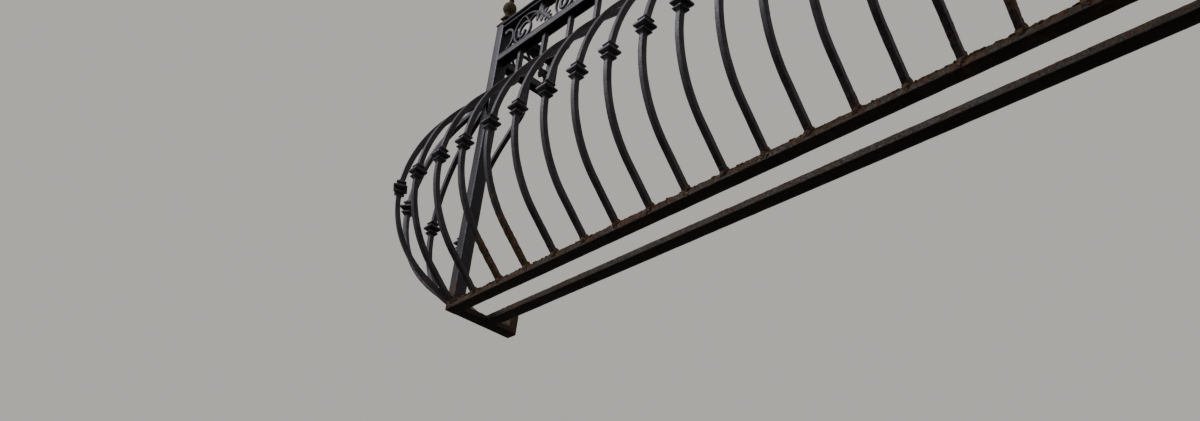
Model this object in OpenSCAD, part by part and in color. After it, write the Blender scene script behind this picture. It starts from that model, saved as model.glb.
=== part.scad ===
// Wrought iron balcony with bellied balusters, forged knuckles and a scroll frieze.
// It hangs on a wall: X runs along the wall, Y points into it, Z is up.
// The origin is on the wall face of the left lug.

/* [Overall] */
// Length over the outer faces of the two corner posts
balcony_length = 2340; // [1800:10:3200]
// Reach from the wall to the front face of the posts
balcony_depth = 240; // [210:5:420]
// Height from the underside of the base to the top of the handrail
rail_height = 1050; // [950:10:1200]

/* [Base frame] */
// Thickness of the flat bars of the base
base_thickness = 22; // [12:1:30]
// Width of the front bar
front_bar_width = 40; // [34:1:60]
// Width of each side bar and of the lug at its end
side_bar_width = 44; // [30:1:70]
// Width of the inner bar
inner_bar_width = 40; // [20:1:50]
// Clear space between the front bar and the inner bar
base_gap = 82; // [50:1:110]
// Height of the lug over the underside of the base
lug_height = 68; // [50:1:110]
// Height of the lug's upright front face over the underside of the base
lug_step = 46; // [30:1:60]
// Length of the lug along the side bar
lug_run = 28; // [16:1:50]

/* [Posts] */
// Side of the square corner posts
post_size = 40; // [34:1:60]
// Side of the lower cap plate
cap_size = 46; // [42:1:80]
// Thickness of the lower cap plate
cap_thickness = 8; // [5:1:16]
// Height of the round stem between the two cap plates
stem_height = 20; // [6:1:40]
// Side of the upper cap plate
cap_step_size = 36; // [30:1:46]
// Thickness of the upper cap plate
cap_step_thickness = 7; // [4:1:14]
// Diameter of the finial's ball
ball_diameter = 47; // [36:1:70]
// Height of the neck under the ball
neck_height = 17; // [12:1:40]
// Lean of each finial over the upper part of its stem, towards the middle of the balcony
finial_lean = 6; // [0:1:12]
// Height of the bud on the ball
bud_height = 20; // [8:1:40]

/* [Handrail and frieze] */
// Width of the handrail's moulded cap
handrail_width = 52; // [42:1:70]
// Height of the handrail's moulded cap
handrail_cap = 12; // [8:1:20]
// Height of the flat bar under the cap
handrail_bar = 10; // [6:1:20]
// Clear height of the frieze between its rails
frieze_height = 107; // [80:1:130]
// Height of the lower frieze rail
frieze_rail_height = 24; // [16:1:40]
// Depth of the lower frieze rail
frieze_rail_depth = 37; // [34:1:40]
// Thickness of the walls of the lower frieze rail, a channel that opens downwards
frieze_rail_wall = 5; // [3:0.5:6]
// Thickness of the scrollwork
scroll_thickness = 10; // [6:1:16]
// Set back of the scrollwork behind the front face of the posts
scroll_setback = 8; // [4:1:14]
// Breadth of the scrollwork's bands
scroll_band = 9.5; // [6:0.5:12]
// Radius of the spiral inside a scroll's arch
scroll_radius = 31; // [22:1:34]
// Distance from a post to the middle of the first scroll
scroll_lead = 111; // [100:1:130]
// Distance between the two scrolls of a pair
scroll_step = 216; // [180:2:230]
// Distance from a scroll to the leaf at the end of its arch
scroll_leaf = 79; // [60:1:90]
// Distance from a post to the scroll of the side frieze
side_scroll_lead = 78; // [60:1:90]
// Distance from the scroll of the side frieze to its leaf
side_scroll_leaf = 54; // [40:1:70]
// Height of the strip that joins the scrollwork at its foot
scroll_foot = 4; // [2:0.5:8]

/* [Balusters] */
// Side of the square baluster bars
bar_size = 16; // [12:1:20]
// Number of balusters between the two corner posts
front_count = 17; // [9:1:25]
// Distance from a post's outer face to the middle of the first baluster
end_gap = 142; // [100:1:180]
// Set back of the straight heads behind the front face of the posts
bar_setback = 22; // [18:1:24]
// Set back of the feet behind the front face of the posts
foot_setback = 4; // [0:1:16]
// Reach of the belly in front of the straight head of the bar
belly_reach = 213; // [150:1:250]
// Height of the widest part of the belly
belly_height = 360; // [300:5:420]
// Height at which the straight head starts to bend
bend_height = 793; // [740:1:850]
// Radius of the bend under the head
bend_radius = 33; // [20:1:80]
// Length of the straight slope under the bend
slope_length = 105; // [60:1:140]
// Radius of the belly under its widest part
sweep_radius = 352; // [280:2:390]
// Extra reach of the two fanned balusters at each corner
fan_reach = 20; // [0:1:30]
// Extra reach of the balusters of the returns
return_reach = 22; // [0:1:30]
// Side of the knuckle's middle plate
knuckle_size = 42; // [34:1:60]
// Side of the knuckle's end plates
knuckle_end_size = 30; // [24:1:44]
// Height of the knuckle
knuckle_height = 52; // [40:1:80]
// Height of the knuckle's middle over the widest part of the belly
knuckle_rise = 24; // [18:1:50]
// Drop of the fanned balusters' knuckles, twice as much on the returns
knuckle_drop = 8; // [0:1:9]

/* [Hidden] */
$fn = 96;

iron = [0.13, 0.13, 0.15];
rust = [0.33, 0.2, 0.14];
seam = 0.8;

// The left lug's wall face is centred on the origin
left = -side_bar_width / 2;
right = left + balcony_length;
front = -balcony_depth;
under = -lug_height / 2;
base_top = under + base_thickness;
top = under + rail_height;
middle = (left + right) / 2;

handrail_under = top - handrail_cap - handrail_bar;
frieze_rail_top = handrail_under - frieze_height;
frieze_rail_under = frieze_rail_top - frieze_rail_height;
head_top = frieze_rail_height - frieze_rail_wall;
inner_bar_front = front + front_bar_width + base_gap;
front_run = balcony_length - 2 * post_size;
side_run = balcony_depth - post_size;
spiral_centre = [scroll_radius * 0.2, frieze_height * 0.4];

// Leaves and mounds are drawn for a frieze 107 high, and follow its height
leaf_scale = frieze_height / 107;

module wedge(radius, from, to) {
    steps = [for (i = [0 : 3]) from + (to - from) * i / 3];
    polygon(concat([[0, 0]], [for (a = steps) radius * 2.6 * [cos(a), sin(a)]]));
}

// Bent and straight lengths run a hair past their ends, into the lengths they meet
module bent_strip(centre, radius, from, to, breadth) {
    more = seam / radius * 180 / PI;
    translate(centre) intersection() {
        difference() {
            circle(radius + breadth / 2);
            circle(radius - breadth / 2);
        }
        wedge(radius, from - more, to + more);
    }
}

module straight_strip(start, end, breadth) {
    run = end - start;
    translate(start) rotate(atan2(run[1], run[0])) translate([-seam, -breadth / 2])
        square([norm(run) + 2 * seam, breadth]);
}

// Outline of a baluster, from the top: straight head, bend, straight slope, upper belly,
// lower belly and a straight length down to the foot.
// The slope's angle and the upper belly's radius follow from the reach and the heights.
function slope_angle(reach) = 2 * atan(reach / (bend_height - belly_height + slope_length));

function upper_radius(reach) =
    let (a = slope_angle(reach))
    (bend_height - belly_height - slope_length * cos(a)) / sin(a) - bend_radius;

module baluster_outline(reach) {
    slope = slope_angle(reach);
    upper = upper_radius(reach);
    bend_end = [bend_radius * (1 - cos(slope)), bend_height - bend_radius * sin(slope)];
    slope_end = bend_end + slope_length * [sin(slope), -cos(slope)];
    foot = [bar_setback - foot_setback, base_thickness];
    drop = belly_height - base_thickness;
    inward = reach - foot[0];
    lower = min(sweep_radius, 0.98 * (inward * inward + drop * drop) / (2 * inward));
    lower_centre = [reach - lower, belly_height];
    to_foot = foot - lower_centre;
    tangent = atan2(to_foot[1], to_foot[0]) + acos(lower / norm(to_foot));
    lower_end = lower_centre + lower * [cos(tangent), sin(tangent)];
    straight_strip([0, frieze_rail_under - under + head_top + 1], [0, bend_height], bar_size);
    bent_strip([bend_radius, bend_height], bend_radius, 180, 180 + slope, bar_size);
    straight_strip(bend_end, slope_end, bar_size);
    bent_strip([reach - upper, belly_height], upper, 0, slope, bar_size);
    bent_strip(lower_centre, lower, tangent, 0, bar_size);
    straight_strip(lower_end, foot + 30 * (foot - lower_end) / norm(foot - lower_end), bar_size);
}

module knuckle_profile() {
    h = knuckle_height / 2;
    m = knuckle_size / 2;
    e = knuckle_end_size / 2;
    b = bar_size / 2 + 1;
    n = bar_size / 2 + 3;
    polygon([
        [b, -h], [e, -h * 0.7], [e, -h * 0.58], [n, -h * 0.42], [n, -h * 0.34], [m, -h * 0.13],
        [m, h * 0.13], [n, h * 0.34], [n, h * 0.42], [e, h * 0.58], [e, h * 0.7], [b, h],
        [-b, h], [-e, h * 0.7], [-e, h * 0.58], [-n, h * 0.42], [-n, h * 0.34], [-m, h * 0.13],
        [-m, -h * 0.13], [-n, -h * 0.34], [-n, -h * 0.42], [-e, -h * 0.58], [-e, -h * 0.7], [-b, -h]
    ]);
}

// Three stacked square plates with sloped faces, forged round the bar
module knuckle() {
    intersection() {
        rotate([90, 0, 0]) linear_extrude(knuckle_size + 1, center = true) knuckle_profile();
        rotate([90, 0, 90]) linear_extrude(knuckle_size + 1, center = true) knuckle_profile();
    }
}

// A baluster that bellies towards -Y, its head on the Z axis, cut level at both ends
module baluster(reach, drop) {
    upper = upper_radius(reach);
    rise = knuckle_rise - drop;
    tilt = asin(rise / upper);
    color(iron) translate([0, 0, under]) intersection() {
        union() {
            rotate([90, 0, -90]) linear_extrude(bar_size, center = true) baluster_outline(reach);
            translate([0, upper * (1 - cos(tilt)) - reach, belly_height + rise]) rotate([-tilt, 0, 0])
                knuckle();
        }
        translate([-knuckle_size, -reach - knuckle_size, base_thickness])
            cube([2 * knuckle_size, reach + 2 * knuckle_size, frieze_rail_under + head_top - base_top]);
    }
}

pitch = (balcony_length - 2 * end_gap) / (front_count - 1);

module front_baluster(i) {
    translate([left + end_gap + pitch * (i - 1), front + bar_setback, 0]) baluster(belly_reach, 0);
}

// Four balusters spring from each corner post: to the front, two fanned, and to the side.
// What would lie behind the post's two outer faces is cut away.
module corner_baluster(i) {
    extra = [0, fan_reach, fan_reach, return_reach][i - 1];
    drop = [0, 1, 1, 2][i - 1] * knuckle_drop;
    difference() {
        translate([left + post_size / 2, front + post_size / 2, 0]) rotate(-30 * (i - 1))
            translate([0, bar_setback - post_size / 2, 0]) baluster(belly_reach + extra, drop);
        translate([left, front, under - 1]) cube([balcony_depth, balcony_depth, rail_height + 2]);
    }
}

module return_baluster() {
    translate([left + bar_setback, front + (balcony_depth + post_size) / 2, 0]) rotate(-90)
        baluster(belly_reach + return_reach, 2 * knuckle_drop);
}

module to_right() {
    translate([2 * middle, 0, 0]) mirror([1, 0, 0]) children();
}

module base_front_bar() {
    color(rust) translate([left, front, under]) cube([balcony_length, front_bar_width, base_thickness]);
}

module base_inner_bar() {
    color(iron) translate([left + side_bar_width, inner_bar_front, under])
        cube([balcony_length - 2 * side_bar_width, inner_bar_width, base_thickness]);
}

// Each side bar ends in a lug that stands up against the wall
module base_side() {
    color(iron) translate([left, 0, under]) rotate([90, 0, 90]) linear_extrude(side_bar_width)
        polygon([
            [0, 0], [0, lug_height], [-lug_run * 0.15, lug_height], [-lug_run, lug_step],
            [-lug_run, base_thickness], [front_bar_width - balcony_depth, base_thickness],
            [front_bar_width - balcony_depth, 0]
        ]);
}

module post() {
    color(iron) translate([left, front, base_top])
        cube([post_size, post_size, rail_height - base_thickness]);
}

module bevelled_plate(size, thickness) {
    bevel = thickness / 3;
    half = size / 2;
    module side() {
        polygon([
            [-half + bevel, 0], [half - bevel, 0], [half, bevel],
            [half, thickness - bevel], [half - bevel, thickness], [-half + bevel, thickness],
            [-half, thickness - bevel], [-half, bevel]
        ]);
    }
    intersection() {
        rotate([90, 0, 0]) linear_extrude(size + 1, center = true) side();
        rotate([90, 0, 90]) linear_extrude(size + 1, center = true) side();
    }
}

// A cap plate and a round stem; over them, a little out of true, a plate, a neck, a ball and a bud
module finial() {
    radius = ball_diameter / 2;
    color(rust) translate([left + post_size / 2, front + post_size / 2, top]) {
        bevelled_plate(cap_size, cap_thickness);
        translate([0, 0, cap_thickness - 1]) cylinder(h = stem_height + 3, r = radius * 0.48);
        translate([0, 0, cap_thickness]) cylinder(h = stem_height * 0.3, r = radius * 0.66);
        translate([0, 0, cap_thickness]) rotate([0, finial_lean, 0]) translate([0, 0, stem_height]) {
            bevelled_plate(cap_step_size, cap_step_thickness);
            translate([0, 0, cap_step_thickness]) finial_head(radius);
        }
    }
}

module finial_head(radius) {
    ball_foot = neck_height - radius * 0.12;
    rotate_extrude() {
        polygon([
            [0, -1], [radius * 0.7, -1], [radius * 0.68, neck_height * 0.2],
            [radius * 0.54, neck_height * 0.4], [radius * 0.52, neck_height * 0.75],
            [radius * 0.64, neck_height], [radius * 0.64, neck_height + radius * 0.5],
            [0, neck_height + radius * 0.5]
        ]);
        translate([0, ball_foot + radius]) intersection() {
            circle(radius);
            translate([0, -radius]) square([radius, 2 * radius]);
        }
        translate([0, ball_foot + 2 * radius - 3]) polygon([
            [0, 0], [radius * 0.42, 0], [radius * 0.34, bud_height * 0.3],
            [radius * 0.4, bud_height * 0.5], [radius * 0.34, bud_height * 0.8],
            [radius * 0.14, bud_height + 3], [0, bud_height + 3]
        ]);
    }
}

// A flat bar under a cap with a rounded nose on each side
module handrail_profile() {
    round_nose = handrail_cap / 2;
    flat = handrail_width - 2 * round_nose;
    translate([-post_size / 2, 0]) square([post_size, handrail_bar]);
    translate([-flat / 2, handrail_bar]) square([flat, handrail_cap]);
    translate([-flat / 2, handrail_bar + round_nose]) circle(round_nose);
    translate([flat / 2, handrail_bar + round_nose]) circle(round_nose);
}

module handrail_front() {
    color(iron) translate([left + post_size, front + post_size / 2, handrail_under])
        rotate([90, 0, 90]) linear_extrude(front_run) handrail_profile();
}

module handrail_side() {
    color(iron) translate([left + post_size / 2, 0, handrail_under])
        rotate([90, 0, 0]) linear_extrude(side_run) handrail_profile();
}

// The lower rail is a channel: the heads of the balusters end under its web
module frieze_rail_front() {
    inner = frieze_rail_depth - 2 * frieze_rail_wall;
    color(iron) translate([left + post_size, front, frieze_rail_under]) rotate([90, 0, 90])
        linear_extrude(front_run) difference() {
            square([frieze_rail_depth, frieze_rail_height]);
            translate([frieze_rail_wall, -1]) square([inner, head_top + 1]);
        }
}

// Side view of the side rail, with its turn up at the wall
module side_rail_view() {
    corner = frieze_rail_height * 1.4;
    breadth = frieze_rail_height;
    rise = handrail_under - frieze_rail_under - corner;
    square([side_run - corner + seam, breadth]);
    translate([side_run - corner, corner]) intersection() {
        difference() {
            circle(corner);
            circle(corner - breadth);
        }
        translate([0, -2 * corner]) square(2 * corner);
    }
    translate([side_run - breadth, corner - seam]) square([breadth, rise + seam]);
}

// The channel of each return turns up at the wall and carries the handrail's end
module frieze_rail_side() {
    inner = frieze_rail_depth - 2 * frieze_rail_wall;
    color(iron) translate([left, front + post_size, frieze_rail_under]) rotate([90, 0, 90]) difference() {
        linear_extrude(frieze_rail_depth) side_rail_view();
        translate([0, 0, frieze_rail_wall]) linear_extrude(inner) difference() {
            translate([-1, -1]) square([side_run + 2, frieze_rail_height + handrail_under]);
            translate([0, frieze_rail_height - frieze_rail_wall]) channel_keep();
        }
    }
}

// What stays of the side rail between its flanges: the web, and all that is above it
module channel_keep() {
    corner = frieze_rail_height * 1.4;
    bend = corner - frieze_rail_height + frieze_rail_wall;
    translate([-2, 0]) square([side_run - corner + 2, handrail_under]);
    translate([side_run - corner - 1, bend]) square([bend + 1, handrail_under]);
    translate([side_run - corner, bend]) circle(bend);
}

// An arch over a spiral, with legs down to the rail and a leaf at its far end
module scroll_arch(leaf) {
    mid = frieze_height / 2;
    radius = mid - scroll_band / 2 + 0.4;
    drop = frieze_height * 0.26;
    far = (leaf * leaf + drop * drop) / (2 * drop);
    turn = asin(leaf / far);
    bent_strip([0, mid], radius, 90, 250, scroll_band);
    straight_strip([-2 * leaf_scale, mid + radius], spiral_centre + scroll_radius * [cos(50), sin(50)], scroll_band * 0.8);
    bent_strip([0, mid + radius - far], far, 90 - turn, 90, scroll_band);
}

// The spiral springs from the rail, rises over its far side and curls inwards at the foot
module spiral() {
    second = scroll_radius * 0.52;
    second_centre = spiral_centre - [scroll_radius - second, 0];
    bent_strip(spiral_centre, scroll_radius, -88, 180, scroll_band);
    bent_strip(second_centre, second, 180, 352, scroll_band * 0.94);
    translate(second_centre + second * [cos(352), sin(352)]) circle(scroll_band * 0.62);
}

// A leaf between two arcs, its point at the given end
module petal(start, end, breadth) {
    run = end - start;
    half = norm(run) / 2;
    radius = (half * half + breadth * breadth / 4) / breadth;
    translate(start) rotate(atan2(run[1], run[0])) intersection() {
        translate([half, radius - breadth / 2]) circle(radius);
        translate([half, breadth / 2 - radius]) circle(radius);
    }
}

module mound(x, breadth, height) {
    radius = (breadth * breadth / 4 + height * height) / (2 * height);
    translate([x, height - radius]) circle(radius);
}

// The calyx where an arch ends: a star of points, an arm up to the handrail, a tendril back to
// the spiral and a broad leaf down to the rail
module calyx(x) {
    y = frieze_height * 0.73;
    tendril = frieze_height * 0.34;
    arm = frieze_height * 0.31;
    s = leaf_scale;
    translate([x, y]) circle(scroll_band * 0.95);
    petal([x - 6 * s, y + 8 * s], [x + 24 * s, y - 20 * s], 20 * s);
    petal([x - 8 * s, y - 8 * s], [x + 12 * s, y + 24 * s], 13 * s);
    petal([x, y + 4 * s], [x - 14 * s, y - 22 * s], 11 * s);
    petal([x - 16 * s, y + 2 * s], [x + 84 * s, -6 * s], 27 * s);
    bent_strip([x - 21 * s, y - tendril + s], tendril, 66, 114 + x - side_scroll_leaf,
               scroll_band * 0.85);
    bent_strip([x + arm - 2 * s, y + 2 * s], arm, 100, 180, scroll_band * 0.85);
}

module c_scroll() {
    radius = frieze_height * 0.36;
    s = leaf_scale;
    centre = [-frieze_height / 2 - radius - scroll_band / 2 + s, frieze_height / 2];
    bent_strip(centre, radius, -80, 96, scroll_band);
    translate(centre + radius * [cos(96), sin(96)] - [3 * s, 3 * s]) circle(scroll_band * 0.75);
    mound(centre[0] + 9 * s, 46 * s, 19 * s);
}

module scroll_motif(leaf) {
    scroll_arch(leaf);
    spiral();
    mound(-24 * leaf_scale, 42 * leaf_scale, 13 * leaf_scale);
    mound(8 * leaf_scale, 40 * leaf_scale, 15 * leaf_scale);
}

module palmette(breadth) {
    s = leaf_scale;
    mound(0, breadth * 0.62, 24 * s);
    petal([0, 4 * s], [0, frieze_height + 6 * s], 22 * s);
    for (side = [-1, 1]) {
        petal([side * 2 * s, 4 * s], [side * breadth * 0.36, frieze_height * 0.82], 19 * s);
        petal([side * 4 * s, 2 * s], [side * breadth * 0.52, frieze_height * 0.42], 17 * s);
    }
}

module frieze_frame(run) {
    square([run, scroll_foot]);
    intersection() {
        square([run, frieze_height]);
        children();
    }
}

// Half of the front frieze: pairs of scrolls with a palmette after each pair, and one last scroll
module frieze_half(run) {
    tail = scroll_lead + scroll_leaf;
    count = max(1, round((run - tail) / (scroll_step * 2.4)));
    step = (run - tail) / count;
    translate([scroll_lead, 0]) c_scroll();
    for (i = [0 : count - 1]) {
        start = scroll_lead + i * step;
        last = start + scroll_step + scroll_leaf;
        translate([start, 0]) scroll_motif(scroll_leaf);
        translate([start, 0]) calyx(scroll_leaf);
        translate([start + scroll_step, 0]) scroll_motif(scroll_leaf);
        translate([start + scroll_step + scroll_leaf, 0])
            petal([0, frieze_height * 0.8], [22 * leaf_scale, frieze_height * 0.55], 15 * leaf_scale);
        translate([(last + start + step - frieze_height / 2) / 2, 0])
            palmette(start + step - frieze_height / 2 - last);
    }
    translate([run - scroll_leaf, 0]) scroll_motif(scroll_leaf);
}

module frieze_front() {
    color(iron) translate([left + post_size, front + scroll_setback + scroll_thickness, frieze_rail_top])
        rotate([90, 0, 0]) linear_extrude(scroll_thickness) frieze_frame(front_run) {
            union() {
                frieze_half(front_run / 2);
                translate([front_run, 0]) mirror([1, 0]) frieze_half(front_run / 2);
                translate([front_run / 2, 0]) palmette(2 * scroll_leaf - 2 * scroll_radius);
            }
        }
}

module frieze_side() {
    run = side_run - frieze_rail_height;
    color(iron) translate([left + scroll_setback, front + post_size, frieze_rail_top])
        rotate([90, 0, 90]) linear_extrude(scroll_thickness) frieze_frame(run)
            translate([side_scroll_lead, 0]) {
                c_scroll();
                scroll_motif(side_scroll_leaf);
                calyx(side_scroll_leaf);
            }
}

base_front_bar();
base_inner_bar();
base_side();  // base_side_left
to_right() base_side();  // base_side_right
post();  // post_left
to_right() post();  // post_right
finial();  // finial_left
to_right() finial();  // finial_right
handrail_front();
handrail_side();  // handrail_left
to_right() handrail_side();  // handrail_right
frieze_rail_front();
frieze_rail_side();  // frieze_rail_left
to_right() frieze_rail_side();  // frieze_rail_right
frieze_front();
frieze_side();  // frieze_left
to_right() frieze_side();  // frieze_right
for (i = [1 : front_count]) front_baluster(i);
for (i = [1 : 4]) corner_baluster(i);
for (i = [1 : 4])
    to_right() corner_baluster(i);
return_baluster();  // baluster_return_left
to_right() return_baluster();  // baluster_return_right
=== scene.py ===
"""Dresses the wrought iron balcony: forged bars, relief scrollwork, worn paint, rust and weld lumps."""
import math
from itertools import product

import bpy
import numpy as np
from mathutils import Matrix, Vector


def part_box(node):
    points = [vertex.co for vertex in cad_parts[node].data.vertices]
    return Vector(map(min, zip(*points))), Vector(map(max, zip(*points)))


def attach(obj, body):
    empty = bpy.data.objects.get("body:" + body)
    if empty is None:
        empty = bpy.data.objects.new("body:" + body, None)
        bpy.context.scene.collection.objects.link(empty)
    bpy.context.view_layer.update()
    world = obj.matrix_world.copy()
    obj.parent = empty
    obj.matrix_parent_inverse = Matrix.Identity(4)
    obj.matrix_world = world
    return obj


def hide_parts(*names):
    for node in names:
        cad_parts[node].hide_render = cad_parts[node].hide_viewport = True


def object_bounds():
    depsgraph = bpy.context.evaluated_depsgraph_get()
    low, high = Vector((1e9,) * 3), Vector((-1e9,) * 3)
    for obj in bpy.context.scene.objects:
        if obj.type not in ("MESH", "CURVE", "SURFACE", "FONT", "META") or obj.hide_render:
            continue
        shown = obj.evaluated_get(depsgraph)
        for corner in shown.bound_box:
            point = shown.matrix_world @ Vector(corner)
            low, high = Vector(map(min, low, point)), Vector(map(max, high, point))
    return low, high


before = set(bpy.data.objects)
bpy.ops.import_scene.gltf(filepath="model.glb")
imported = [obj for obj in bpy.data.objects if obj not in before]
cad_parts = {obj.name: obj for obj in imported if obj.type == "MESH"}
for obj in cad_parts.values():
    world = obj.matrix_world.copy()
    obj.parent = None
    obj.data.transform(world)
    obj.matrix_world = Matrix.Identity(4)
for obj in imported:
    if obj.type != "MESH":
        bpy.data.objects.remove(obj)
cad_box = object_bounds()

# Camera: the photo was taken from the street, below and to the right of the balcony
EYE = Vector((2.9658, -1.9373, -1.6154))
HEADING = math.radians(-51.56)
RISE = math.radians(19.15)
ROLL = math.radians(7.57)
LENS = 36.65
SHIFT_Y = 0.205

# Sizes in metres, from the frame or as in the part
MM = 0.001
X, Y, Z = np.eye(3)
BOX_LOW, BOX_HIGH = np.array(cad_box[0]), np.array(cad_box[1])
POST_LOW, POST_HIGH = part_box("post_left")
LEFT, FRONT, POST = POST_LOW.x, POST_LOW.y, POST_HIGH.x - POST_LOW.x
POST_X, POST_Y = LEFT + POST / 2, FRONT + POST / 2
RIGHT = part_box("post_right")[1].x
MIDDLE = (LEFT + RIGHT) / 2
UNDER, BASE_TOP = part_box("base_front_bar")[0].z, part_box("base_front_bar")[1].z
BASE_HALF = (BASE_TOP - UNDER) / 2
BASE_LEVEL = UNDER + BASE_HALF
TOP = POST_HIGH.z
RAIL_LOW, RAIL_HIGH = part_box("frieze_rail_front")
HANDRAIL_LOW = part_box("handrail_front")[0]
FRIEZE_HEIGHT = HANDRAIL_LOW.z - RAIL_HIGH.z
INTO_POST = 2.5 * MM

# Bars
BAR = 16 * MM
BAR_CORNER = 1.9 * MM
BAR_SETBACK = 22 * MM
BAR_HEAD_DROP = 4 * MM
FOOT_SETBACK = 4 * MM
FOOT_INTO_BASE = 1.5 * MM
BELLY_REACH = 213 * MM
BELLY_HEIGHT = 360 * MM
BEND_HEIGHT = 793 * MM
BEND_RADIUS = 33 * MM
SLOPE_LENGTH = 105 * MM
SWEEP_RADIUS = 352 * MM
SWEEP_LIMIT = 0.98
FAN_TURN = 30
FAN_REACH = 20 * MM
RETURN_REACH = 22 * MM
KNUCKLE_RISE = 24 * MM
KNUCKLE_DROP = 8 * MM
KNUCKLE_HALF = 26 * MM
KNUCKLE_CORNER = 1.0 * MM
FRONT_COUNT = 17
END_GAP = 142 * MM

# Half of a knuckle: distance from its middle as a share of its half height, half width in millimetres
HALF_KNUCKLE = [(0.0, 21.8), (0.11, 21.4), (0.16, 19.8), (0.38, 11.2), (0.46, 11.2), (0.60, 15.0), (0.64, 15.8),
                (0.745, 15.2), (0.80, 12.6), (1.0, 9.0)]
KNUCKLE = np.array([(-at, wide) for at, wide in HALF_KNUCKLE[:0:-1]] + HALF_KNUCKLE)
# How far some of the front knuckles sit over or under the common line
KNUCKLE_SHIFT = {1: 9 * MM, 3: 8 * MM, 6: -4 * MM, 7: -8 * MM, 8: 3 * MM}
# Height that the rust reaches on the bars counted from each end, and on all others
REDDENED = {1: 0.2, 2: 0.29, 3: 0.3}
REDDENED_OTHERS = 0.17

# Frieze
BAND = 9.5 * MM
SCROLL_RADIUS = 31 * MM
RELIEF = 10 * MM
ARCH_LEAF = 79 * MM
SIDE_LEAF = 54 * MM
FRONT_LEAD = 111 * MM
SIDE_LEAD = 78 * MM
ARCH_PITCH = 216 * MM

# Finial: heights, then outlines as shares of a height and of the radius
FINIAL_RADIUS = 23.5 * MM
FINIAL_LEAN = math.radians(6)
CAP, STEM, PLATE, NECK, BUD = 8 * MM, 20 * MM, 7 * MM, 17 * MM, 20 * MM
STEM_OUTLINE = (0, 0.66), (0.2, 0.66), (0.33, 0.56), (0.4, 0.48), (0.8, 0.46)
NECK_OUTLINE = (0, 0.7), (0.14, 0.7), (0.3, 0.6), (0.42, 0.53), (0.6, 0.51), (0.8, 0.54)
BUD_OUTLINE = ((0.1, 0.38), (0.3, 0.33), (0.42, 0.38), (0.55, 0.41), (0.72, 0.37), (0.9, 0.27), (1.02, 0.17),
               (1.1, 0.05))

# Weld: least and most size of each kind of lump in millimetres, and the outline of a collar
SPATTER_SIZE = (2.4, 2.4, 1.8), (5.6, 4.8, 5.0)
SPATTER_SPREAD = -1.5, 2.5
SPATTER_COUNT = 9
RUN_SIZE = (2.6, 1.2, 2.6), (6.0, 2.6, 6.5)
RUN_COUNT = 4
BLISTER_SIZE = (2.5, 1.2, 1.0), (8.5, 2.6, 2.6)
COLLAR_LEVELS = np.array([-15, -12, -8, -4, -1, 2, 5, 8.5, 13]) * MM
COLLAR_SPREAD = np.array([-5, -1.2, 1.2, 2.4, 3.0, 2.7, 1.9, 1.0, -0.5]) * MM

# Meshes: largest corner as a share of the half size, and the angle from which an edge is drawn sharp
CORNER_LIMIT = 0.85
SHARP = math.radians(50)
TINY = 1e-9

# Noise: constants of the hash that gives each lattice point its value
HASH_AXES = np.array([73856093, 19349663, 83492791])
HASH_SEED = 961748927
HASH_FIRST, HASH_SECOND = 2246822519, 3266489917
WORD = 0xFFFFFFFF
SEED_OFFSET = 31.7


def noise(points, size, seed):
    """Smooth lumps from -1 to 1 at each point, about size across."""
    place = np.asarray(points) / size + SEED_OFFSET * seed
    cell = np.floor(place).astype(np.int64)
    part = place - cell
    part = part * part * (3 - 2 * part)
    total = np.zeros(place.shape[:-1])
    for corner in product((0, 1), repeat=3):
        key = (cell + corner) @ HASH_AXES + seed * HASH_SEED
        key = ((key ^ (key >> 15)) * HASH_FIRST) & WORD
        key = ((key ^ (key >> 13)) * HASH_SECOND) & WORD
        value = ((key ^ (key >> 16)) & 0xFFFF) / 32767.5 - 1
        total += value * np.prod(np.where(corner, part, 1 - part), axis=-1)
    return total


def uneven(points, broad, small, seed):
    """Broad lumps with small ones on them, each given as (size in millimetres, height)."""
    return noise(points, broad[0] * MM, seed) * broad[1] + noise(points, small[0] * MM, seed + 1) * small[1]


def fading(height, top, depth):
    """1 well under a height and 0 over it, changing over the depth below it."""
    return np.clip((top - height) / depth, 0, 1)


def all_round(count):
    """Even angles round a circle."""
    return np.linspace(0, 2 * math.pi, count, endpoint=False)


def even(start, end, step):
    """Values from start to end, even and not much more than a step apart."""
    return np.linspace(start, end, max(2, int(abs(end - start) / step) + 1))


def track(x, y, z):
    """Points from their coordinates, each of them one number or one for every point."""
    return np.stack(np.broadcast_arrays(x, y, z), 1).astype(float)


def middle_and_half(low, high):
    return (low + high) / 2, (high - low) / 2


def on_circle(centre, radius, angle):
    """The point of a circle at an angle, or one for each of several."""
    return np.asarray(centre) + radius * np.stack([np.cos(angle), np.sin(angle)], -1)


def rounded_square():
    """Section of 24 points: signs of the corner centres, directions from them, and how near an edge."""
    rows = []
    for quarter in range(4):
        start = quarter * math.pi / 2
        end = start + math.pi / 2
        sign = (math.copysign(1, math.cos(start + math.pi / 4)), math.copysign(1, math.sin(start + math.pi / 4)))
        for step, wear in enumerate((0.6, 1, 0.6)):
            angle = start + step * math.pi / 4
            rows.append((*sign, math.cos(angle), math.sin(angle), wear))
        after = np.array([-sign[1], sign[0]])
        for share in (0.25, 0.5, 0.75):
            mid = np.array(sign) * (1 - share) + after * share
            rows.append((*mid, math.cos(end), math.sin(end), 0))
    return np.array(rows)


SQUARE = rounded_square()
EDGE = SQUARE[:, 4]


def rings_of(path, across, over, section, facing):
    """Rings of a section along a path, and their outward directions; both are given as (across, over)."""
    across, over = (np.broadcast_to(axis, path.shape)[:, None] for axis in (across, over))
    rings = path[:, None] + section[..., :1] * across + section[..., 1:] * over
    return rings, facing[:, :1] * across + facing[:, 1:] * over


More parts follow.
